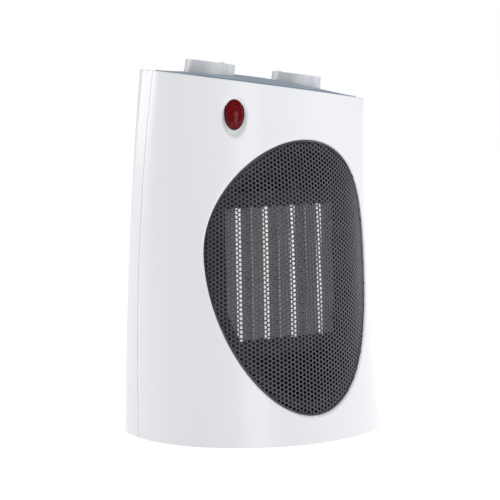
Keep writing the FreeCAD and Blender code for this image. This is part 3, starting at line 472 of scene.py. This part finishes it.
# The joint's dark line is a grey strip in the gap between the shells: painted shadow, not a colour of
# the white plastic.
seam_shadow = finish("seam_painted_shadow", (0.30, 0.31, 0.33), (0.25, 0.26, 0.28), 0.6, mottle=60, grain=900,
                     depth=0.01)
SHADE_STRIP_ROWS = 60
for side, name in ((-1, "seam_shade_strip_left"), (1, "seam_shade_strip_right")):
    top_end = under_top(0 if side < 0 else math.pi) - 0.0025

    def shade_strip_point(i, row):
        """A thin strip that closes the joint just under the surface of both shells; its grey is painted
        shadow of the gap.
        """
        z = RIM + 0.0005 + (top_end - RIM) * row / SHADE_STRIP_ROWS
        half_width, depth, seam = section(z)
        return Vector((side * (half_width - 0.0007), seam + (-0.0012, 0.0018)[i], z))

    shade_strip = grid_piece(name, 1, SHADE_STRIP_ROWS, shade_strip_point)
    modified(shade_strip, "SOLIDIFY", thickness=0.0006, offset=0)
    shade_strip = united([shade_strip])
    shade_strip.data.materials.clear()
    shade_strip.data.materials.append(seam_shadow)
    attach(shade_strip, "case")

for number, (x, z) in enumerate(WELLS):
    half_width, depth, seam = section(z)
    reach = back_reach(z) - BACK_BAND
    bend = (1 - (abs(x) / half_width) ** ROUNDNESS) ** (1 / ROUNDNESS)
    outer = seam + BACK_BAND + reach * bend - 0.001
    floor_y = seam + 0.0053
    bpy.ops.object.select_all(action="DESELECT")
    bpy.ops.mesh.primitive_cylinder_add(vertices=48, radius=WELL_RADIUS, depth=outer - floor_y,
                                        end_fill_type="NOTHING")
    well = bpy.context.object
    well.name = f"screw_well_{number}"
    seat = Matrix.Translation((x, (outer + floor_y) / 2, z))
    well.data.transform(seat @ Matrix.Rotation(math.radians(90), 4, "X"))
    modified(well, "SOLIDIFY", thickness=0.0014, offset=1)
    smoothed(well)
    well.data.materials.append(case_white)
    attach(well, "case")


# Outlet mesh: thin steel sheet with round holes in upright staggered rows, pressed to a shallow
# dome and painted satin black. Its plain border is folded back under the bevel of the outlet.

HOLE_PITCH = 0.0032
HOLE_RADIUS = 0.00119
MESH_SQUEEZE = 0.0074
MESH_DOME = 0.004
RIM_SHRINK = 0.0019


def mesh_bulge(z):
    """How far the domed sheet stands before the case's own curve at height z."""
    across, middle, up, down = OUTLET
    part = (z - middle) / (up if z > middle else down)
    return (MESH_DOME + OUTLET_BEVEL) * (1 - part * part) - OUTLET_BEVEL


def arc_table(z, steps=400):
    """Run along the sheet from the middle, at equal steps of the angle."""
    table = [0.0]
    before = on_front(math.pi / 2, z, MESH_SQUEEZE, mesh_bulge(z))
    for step in range(1, steps + 1):
        point = on_front(math.pi / 2 * (1 + step / steps), z, MESH_SQUEEZE, mesh_bulge(z))
        table.append(table[-1] + (point - before).length)
        before = point
    return table


run_table = arc_table(OUTLET[1])


def angle_at(run):
    """The angle on the front at a run along the sheet from its middle."""
    steps = len(run_table) - 1
    low, high = 0, steps
    while high - low > 1:
        half = (low + high) // 2
        if run_table[half] < abs(run):
            low = half
        else:
            high = half
    part = (abs(run) - run_table[low]) / (run_table[high] - run_table[low])
    return math.pi / 2 * (1 + math.copysign((low + part) / steps, run))


def on_mesh(run, height):
    """A point of the sheet, held inside its border."""
    a = angle_at(run)
    point = on_front(a, height, MESH_SQUEEZE, mesh_bulge(height))
    share, turn = egg_share(point.x, point.z, RIM_SHRINK)
    if share > 0.997:
        return egg_point(turn, RIM_SHRINK + 0.0002, MESH_SQUEEZE, bulge=mesh_bulge)
    return point


def perforated_sheet():
    """One six-sided cell round each hole, with a hole of twelve sides; neighbours share corners."""
    form = bmesh.new()
    corners = {}
    side = HOLE_PITCH / math.sqrt(3)
    for column in range(-32, 33):
        for step in range(-40, 28):
            run = column * side * 1.5
            height = OUTLET[1] + (step + (column % 2) / 2) * HOLE_PITCH
            if abs(run) > run_table[-1] * 0.98:
                continue
            centre = on_front(angle_at(run), height, MESH_SQUEEZE, mesh_bulge(height))
            if egg_share(centre.x, centre.z, RIM_SHRINK)[0] > 0.994:
                continue
            ring = []
            for corner in range(6):
                x = run + side * math.cos(math.pi / 3 * corner)
                z = height + side * math.sin(math.pi / 3 * corner)
                key = (round(x / side * 2), round(z / HOLE_PITCH * 4))
                if key not in corners:
                    corners[key] = form.verts.new(on_mesh(x, z))
                ring.append(corners[key])
            hole = []
            for spoke in range(12):
                turn = math.pi / 6 * (spoke - 0.5)
                x, z = run + HOLE_RADIUS * math.cos(turn), height + HOLE_RADIUS * math.sin(turn)
                hole.append(form.verts.new(on_mesh(x, z)))
            for corner in range(6):
                after = (corner + 1) % 6
                first, second = hole[2 * corner], hole[2 * corner + 1]
                form.faces.new((ring[corner], second, first))
                form.faces.new((ring[corner], ring[after], hole[(2 * corner + 2) % 12], second))
    mesh = bpy.data.meshes.new("outlet_mesh")
    form.to_mesh(mesh)
    form.free()
    return mesh


sheet = bpy.data.objects.new("outlet_mesh", perforated_sheet())
scene.collection.objects.link(sheet)
bpy.ops.object.select_all(action="DESELECT")
sheet.select_set(True)
bpy.context.view_layer.objects.active = sheet
bpy.ops.object.mode_set(mode="EDIT")
bpy.ops.mesh.select_all(action="SELECT")
bpy.ops.mesh.normals_make_consistent(inside=False)
bpy.ops.object.mode_set(mode="OBJECT")
if sum(face.normal.y * face.area for face in sheet.data.polygons) > 0:
    sheet.data.flip_normals()
modified(sheet, "SOLIDIFY", thickness=0.0006, offset=-1)
smoothed(sheet, 120)

mesh_black = finish("mesh_black_paint", (0.062, 0.061, 0.074), (0.045, 0.044, 0.054), 0.3, mottle=120,
                    grain=2500, depth=0.02)
sheet.data.materials.append(mesh_black)
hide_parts("outlet_grille")
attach(sheet, "case")


BORDER_COLUMNS = 360
BORDER_SECTION = ((0.0017, 0.0022), (0.0017, 0.0001), (0.0020, -0.0003), (0.0028, -0.0003),
                  (0.0031, 0.0003))


def border_point(i, row):
    """The border's section: folded edge, flat face and the step down to the holes."""
    shrink, back = BORDER_SECTION[row]
    return egg_point(2 * math.pi * i / BORDER_COLUMNS, shrink, MESH_SQUEEZE, back, mesh_bulge)


border = united([grid_piece("mesh_border", BORDER_COLUMNS, len(BORDER_SECTION) - 1, border_point)])
smoothed(border, 60)
border.data.materials.clear()
border.data.materials.append(mesh_black)
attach(border, "case")


# Indicator lamp: a clear red polycarbonate lens, domed and oval, in a thin dark collar.

bpy.ops.object.select_all(action="DESELECT")
bpy.ops.mesh.primitive_uv_sphere_add(segments=64, ring_count=32, radius=1)
lens_piece = bpy.context.object
lens_piece.name = "lamp_lens_red"
for vertex in lens_piece.data.vertices:
    x, y, z = vertex.co
    rise = 0.0026 if z > 0 else 0.006
    vertex.co = LAMP_FRAME @ Vector((x * 0.0066, 0.0007 + y * 0.0112, z * rise - 0.0006))
smoothed(lens_piece, 60)
lens_red = finish("lens_red", (0.17, 0.0006, 0.004), (0.07, 0.0003, 0.002), 0.12, mottle=420, grain=300,
                  depth=0.05, spread=0.03)
tuned(lens_red, {"Specular IOR Level": 0.15, "Coat Weight": 0.03, "Coat Roughness": 0.03})
lens_piece.data.materials.append(lens_red)
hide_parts("lamp_lens")
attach(lens_piece, "case")

bpy.ops.object.select_all(action="DESELECT")
bpy.ops.mesh.primitive_torus_add(major_radius=1, minor_radius=0.05, major_segments=96,
                                 minor_segments=12)
collar = bpy.context.object
collar.name = "lamp_collar"
for vertex in collar.data.vertices:
    x, y, z = vertex.co
    vertex.co = LAMP_FRAME @ Vector((x * 0.0069, 0.0007 + y * 0.0115, z * 0.012 - 0.0007))
smoothed(collar, 60)
collar.data.materials.append(finish("collar_dark", (0.03, 0.004, 0.006), (0.02, 0.003, 0.004), 0.3,
                                    mottle=200))
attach(collar, "case")


# Heating element: four bright aluminium bars with the ceramic stones sealed inside, thin bare plates
# between them, and fins folded to and fro from a ribbon, glued between bar and plate. White strips on
# the bars' fronts and the fins carry a painted glow: painted highlight on the bars, painted light on
# the fins.

BAR_PITCH = 0.02344
FIN_LOW, FIN_HIGH = 0.0006, 0.0092
FIN_FRONT, FIN_BACK = 0.0012, 0.0168
FOLD, FOLD_ROWS = 0.0022, 88


def fin_point(i, row):
    """The ribbon's fold: it touches one side on even rows and the other side on odd ones."""
    return Vector(((FIN_LOW, FIN_HIGH)[row % 2], (FIN_FRONT, FIN_BACK)[i], -0.0484 + row * FOLD / 2))


bpy.ops.object.select_all(action="DESELECT")
ribbons = []
for cell in range(-4, 4):
    ribbon = grid_piece(f"fin_ribbon_{cell}", 1, FOLD_ROWS, fin_point)
    side = 1 if cell % 2 == 0 else -1
    middle = (cell + 1) // 2 * BAR_PITCH
    mirrored = Matrix.Diagonal((side, 1, 1, 1))
    ribbon.data.transform(CORE_FRAME @ Matrix.Translation((middle, 0, 0)) @ mirrored)
    ribbons.append(ribbon)
fins = united(ribbons, gap=1e-7)
modified(fins, "SOLIDIFY", thickness=0.00022, offset=0)
# The fins' aluminium has a faint emission: painted light that brightens them behind the mesh.
fin_glow_paint = finish("fin_aluminium", (0.92, 0.92, 0.93), (0.6, 0.6, 0.61), 0.42, metal=0.35, mottle=700,
                    grain=3000, depth=0.03, spread=0.12)
tuned(fin_glow_paint, {"Emission Color": WHITE, "Emission Strength": 0.03})
fins.data.materials.clear()
fins.data.materials.append(fin_glow_paint)
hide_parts("radiator_fins")
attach(fins, "case")

bar_bright = finish("bar_aluminium", (0.97, 0.97, 0.96), (0.88, 0.88, 0.88), 0.42, metal=0.15,
                    mottle=160, grain=2200, depth=0.02)
bare_aluminium = finish("plate_aluminium", (0.72, 0.72, 0.72), (0.6, 0.6, 0.61), 0.4, metal=0.6,
                        mottle=220, grain=2200, depth=0.02)


def dressed(material, *names):
    """A material for CAD pieces that stand as they are."""
    for name in names:
        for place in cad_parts[name].material_slots:
            place.material = material


stone_grey = finish("ptc_ceramic", (0.12, 0.11, 0.105), (0.075, 0.07, 0.066), 0.8, mottle=500,
                    grain=5000, depth=0.04)
dressed(bar_bright, "ptc_bars")
dressed(bare_aluminium, "contact_plates")

# Thin white strips on the bars' fronts glow by emission: a painted highlight standing in for the light
# the bars catch behind the mesh.
bar_face_glow = finish("bar_face_painted_glow", (0.98, 0.98, 0.98), (0.9, 0.9, 0.91), 0.3, mottle=300, grain=2500,
                  depth=0.01)
tuned(bar_face_glow, {"Emission Color": WHITE, "Emission Strength": 0.4})
FACE_SIZE = (0.0042, 0.0003, 0.0975, 1)
for number, step in enumerate((-1.5, -0.5, 0.5, 1.5)):
    bpy.ops.object.select_all(action="DESELECT")
    bpy.ops.mesh.primitive_cube_add(size=1)
    face_strip = bpy.context.object
    face_strip.name = f"bar_face_{number}"
    face_strip.data.transform(Matrix.Diagonal(FACE_SIZE))
    modified(face_strip, "BEVEL", width=0.0001, segments=2)
    face_strip.data.transform(CORE_FRAME @ Matrix.Translation((step * BAR_PITCH, -0.0001, 0)))
    face_strip.data.materials.append(bar_face_glow)
    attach(face_strip, "case")
dressed(stone_grey, "ptc_ceramic_stones")


# Frame, air guide and duct: black glass-filled nylon mouldings that hold the element behind the
# mesh and carry the fan's air to it. The screws that hold them are plated steel.

black_nylon = finish("black_nylon", (0.014, 0.014, 0.016), (0.008, 0.008, 0.009), 0.55, mottle=90,
                     grain=1800, depth=0.04)
screw_steel = finish("screw_steel", (0.55, 0.55, 0.53), (0.42, 0.42, 0.41), 0.32, metal=1.0, mottle=900,
                     grain=4000, depth=0.02)
dressed(black_nylon, "heater_frame", "air_guide", "fan_duct", "grille_clamp_ring")
dressed(screw_steel, "heater_screws", "duct_screws", "foot_screws")
tinned_brass = finish("tinned_brass", (0.30, 0.29, 0.27), (0.2, 0.19, 0.175), 0.45, metal=0.9,
                      mottle=600, grain=3000)
dressed(tinned_brass, "heater_terminals", "terminal_clamps")


# Fan and motor: a seven-bladed nylon impeller on a steel shaft, turned by a small motor in a
# drawn steel can that a moulded spider carries.

fan_grey = finish("fan_nylon", (0.052, 0.054, 0.058), (0.036, 0.038, 0.041), 0.42, mottle=140,
                  grain=1500, depth=0.03)
drawn_steel = finish("drawn_steel", (0.46, 0.46, 0.47), (0.34, 0.34, 0.35), 0.36, metal=1.0, mottle=260,
                     grain=3500, depth=0.02)
copper_lacquer = finish("stator_lacquer", (0.30, 0.11, 0.04), (0.17, 0.06, 0.025), 0.4, metal=0.6,
                        mottle=900, grain=4000, depth=0.05)
sintered_bronze = finish("sintered_bronze", (0.42, 0.27, 0.12), (0.3, 0.19, 0.09), 0.5, metal=1.0,
                         mottle=1500, grain=6000, depth=0.04)
ground_steel = finish("ground_steel", (0.6, 0.6, 0.61), (0.5, 0.5, 0.51), 0.2, metal=1.0, mottle=600,
                      grain=5000)
copied("fan_impeller", "fan", fan_grey)
copied("motor_can", "case", drawn_steel)
copied("motor_end_cap", "case", drawn_steel)
copied("motor_shaft", "fan", ground_steel)
dressed(black_nylon, "motor_spider")
dressed(copper_lacquer, "motor_stator")
dressed(sintered_bronze, "motor_bearings")
dressed(drawn_steel, "motor_rotor")


# Safety parts: a thermal cut-out disc and a fuse over the element, both in dark moulded cases.

dark_phenolic = finish("dark_phenolic", (0.022, 0.018, 0.016), (0.012, 0.010, 0.009), 0.42, mottle=300,
                       grain=2600, depth=0.03)
dressed(dark_phenolic, "thermal_cutout", "thermal_fuse", "thermostat_body", "rotary_switch_body")
dressed(ground_steel, "thermostat_stem", "switch_stem")
dressed(screw_steel, "control_nuts")


# Control panel: a lens-shaped blue-grey ABS plate let into the slanted top, with a printed
# scale of plain ticks round each control.

top_side = (Vector((1, 0, 0)) - TOP_NORMAL * TOP_NORMAL.x).normalized()
TOP_FRAME = Matrix((top_side, TOP_NORMAL.cross(top_side), TOP_NORMAL)).transposed().to_4x4()
TOP_FRAME.translation = TOP_POINT
KNOB_X, KNOB_Y = 0.0383, 0.0037

panel_blue = finish("panel_blue_grey", (0.27, 0.345, 0.425), (0.245, 0.315, 0.395), 0.36, mottle=70,
                    grain=1600, depth=0.02)
copied("control_panel", "case", panel_blue)
PANEL_HALF_WIDTH, PANEL_BACK, PANEL_FRONT, PANEL_MIDDLE = 0.0825, 0.037, 0.0615, 0.0013
PANEL_EDGE, PANEL_CROWN = 0.0008, 0.0047


def panel_height(x, y):
    """The crowned panel's surface over the plane of the top."""
    half_depth = PANEL_BACK if y > PANEL_MIDDLE else PANEL_FRONT
    reach = math.hypot(x / PANEL_HALF_WIDTH, (y - PANEL_MIDDLE) / half_depth)
    return PANEL_EDGE + PANEL_CROWN * max(0.0, 1 - reach * reach) ** 1.5


print_ink = finish("print_ink", (0.055, 0.075, 0.11), (0.04, 0.055, 0.085), 0.5, mottle=400, grain=3000)


LONG_TICK, SHORT_TICK, TICK_WIDTH, TICK_START, TICK_RISE = 0.0042, 0.0024, 0.0006, 0.0224, 0.0001


def scale_marks(name, side, steps, first, last):
    """Ticks of a printed scale round a control, every fourth long, each a hair above the panel."""
    ticks = []
    for step in range(steps + 1):
        turn = math.radians(first + (last - first) * step / steps)
        tall = LONG_TICK if step % 4 == 0 else SHORT_TICK
        bpy.ops.object.select_all(action="DESELECT")
        bpy.ops.mesh.primitive_cube_add(size=1)
        tick = bpy.context.object
        seat = Matrix.Translation((side * KNOB_X, KNOB_Y, 0)) @ Matrix.Rotation(turn, 4, "Z")
        for vertex in tick.data.vertices:
            rise = vertex.co.z * TICK_RISE
            spot = seat @ Vector((vertex.co.x * TICK_WIDTH, TICK_START + (vertex.co.y + 0.5) * tall, 0))
            vertex.co = Vector((spot.x, spot.y, panel_height(spot.x, spot.y) + rise))
        tick.data.transform(TOP_FRAME)
        ticks.append(tick)
    marks = united(ticks, gap=1e-7)
    marks.name = name
    marks.data.materials.clear()
    marks.data.materials.append(print_ink)
    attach(marks, "case")


scale_marks("temperature_scale", -1, 16, 180, 450)
scale_marks("function_scale", 1, 4, 90, 360)


# Knobs: white ABS, with six shallow finger flats round a drafted skirt, a slightly dished cap
# and a raised pointer at the edge. Each is pushed on to its control's stem.

KNOB_RADIUS, KNOB_HEIGHT, KNOB_LIFT = 0.0195, 0.0098, 0.002
FLAT_RADIUS, FLAT_DEPTH = 0.026, 0.0016
CAP_STEPS = ((0.0016, 0), (0.0008, -0.0003), (0.006, -0.0002))
POINTER_WIDTH, POINTER_LENGTH, POINTER_RISE = 0.0024, 0.005, 0.0013
knob_white = finish("knob_white", (0.84, 0.845, 0.855), (0.83, 0.835, 0.845), 0.3, mottle=60,
                    grain=1200, depth=0.004, spread=0.03)


def flatted(turn, radius):
    """The skirt's radius at a turn round the knob, less the finger flat there."""
    off = (turn - math.pi / 2 + math.pi / 6) % (math.pi / 3) - math.pi / 6
    away = KNOB_RADIUS - FLAT_DEPTH + FLAT_RADIUS
    inside = FLAT_RADIUS ** 2 - (away * math.sin(off)) ** 2
    if inside <= 0:
        return radius
    return min(radius, away * math.cos(off) - math.sqrt(inside))


def knob(name, node, body, side, pointer):
    """Skirt, cap and pointer of one knob, in its seat on the panel."""
    bpy.ops.object.select_all(action="DESELECT")
    draft = KNOB_HEIGHT * math.tan(math.radians(5))
    bpy.ops.mesh.primitive_cone_add(vertices=180, radius1=KNOB_RADIUS, radius2=KNOB_RADIUS - draft,
                                    depth=KNOB_HEIGHT, location=(0, 0, KNOB_LIFT + KNOB_HEIGHT / 2))
    piece = bpy.context.object
    bpy.ops.object.transform_apply(location=True)
    piece.name = name
    for vertex in piece.data.vertices:
        turn = math.atan2(vertex.co.y, vertex.co.x)
        radius = flatted(turn, math.hypot(vertex.co.x, vertex.co.y))
        vertex.co.x, vertex.co.y = radius * math.cos(turn), radius * math.sin(turn)
    bpy.ops.object.mode_set(mode="EDIT")
    bpy.ops.mesh.select_mode(type="FACE")
    bpy.ops.mesh.select_all(action="DESELECT")
    bpy.ops.object.mode_set(mode="OBJECT")
    for face in piece.data.polygons:
        face.select = face.normal.z > 0.9
    bpy.ops.object.mode_set(mode="EDIT")
    for inward, rise in CAP_STEPS:
        bpy.ops.mesh.inset(thickness=inward, depth=rise)
    bpy.ops.object.mode_set(mode="OBJECT")
    bpy.ops.object.select_all(action="DESELECT")
    bpy.ops.mesh.primitive_cube_add(size=1)
    rib = bpy.context.object
    reach = KNOB_RADIUS - 0.0012 - 0.0025
    for vertex in rib.data.vertices:
        x, y, z = vertex.co
        level = KNOB_LIFT + KNOB_HEIGHT + 0.00005 + z * POINTER_RISE
        vertex.co = Vector((x * POINTER_WIDTH, reach + y * POINTER_LENGTH, level))
    modified(rib, "BEVEL", width=0.0004, segments=3, limit_method="ANGLE", angle_limit=math.radians(30))
    rib.data.transform(Matrix.Rotation(math.radians(pointer), 4, "Z"))
    modified(piece, "BEVEL", width=0.0007, segments=4, limit_method="ANGLE",
             angle_limit=math.radians(40))
    bpy.ops.object.select_all(action="DESELECT")
    rib.select_set(True)
    piece.select_set(True)
    bpy.context.view_layer.objects.active = piece
    bpy.ops.object.join()
    piece.data.transform(TOP_FRAME @ Matrix.Translation((side * KNOB_X, KNOB_Y, 0)))
    smoothed(piece, 28)
    piece.data.materials.clear()
    piece.data.materials.append(knob_white)
    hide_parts(node)
    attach(piece, body)


knob("temperature_knob_white", "temperature_knob", "temperature_control", -1, 180)
knob("function_knob_white", "function_knob", "function_control", 1, 90)


# Base, feet and fixings: a grey ABS plate closes the case's underside and stands on four rubber
# feet; the spring plunger of the tip-over switch comes through it.

base_grey = finish("base_grey", (0.34, 0.345, 0.35), (0.30, 0.305, 0.31), 0.5, mottle=80, grain=1300,
                   depth=0.05)
foot_rubber = finish("foot_rubber", (0.035, 0.035, 0.035), (0.022, 0.022, 0.022), 0.75, mottle=400,
                     grain=2500, depth=0.05)
gland_rubber = finish("gland_rubber", (0.6, 0.6, 0.6), (0.52, 0.52, 0.52), 0.6, mottle=300, grain=2000,
                      depth=0.04)
copied("base_plate", "case", base_grey)
copied("rubber_feet", "case", foot_rubber)
copied("case_screws", "case", screw_steel)
copied("cord_inlet_gland", "case", gland_rubber)
copied("tip_over_plunger", "plunger", black_nylon)
dressed(dark_phenolic, "tip_over_switch")
dressed(gland_rubber, "terminal_block")
dressed(lens_red, "lamp_body")
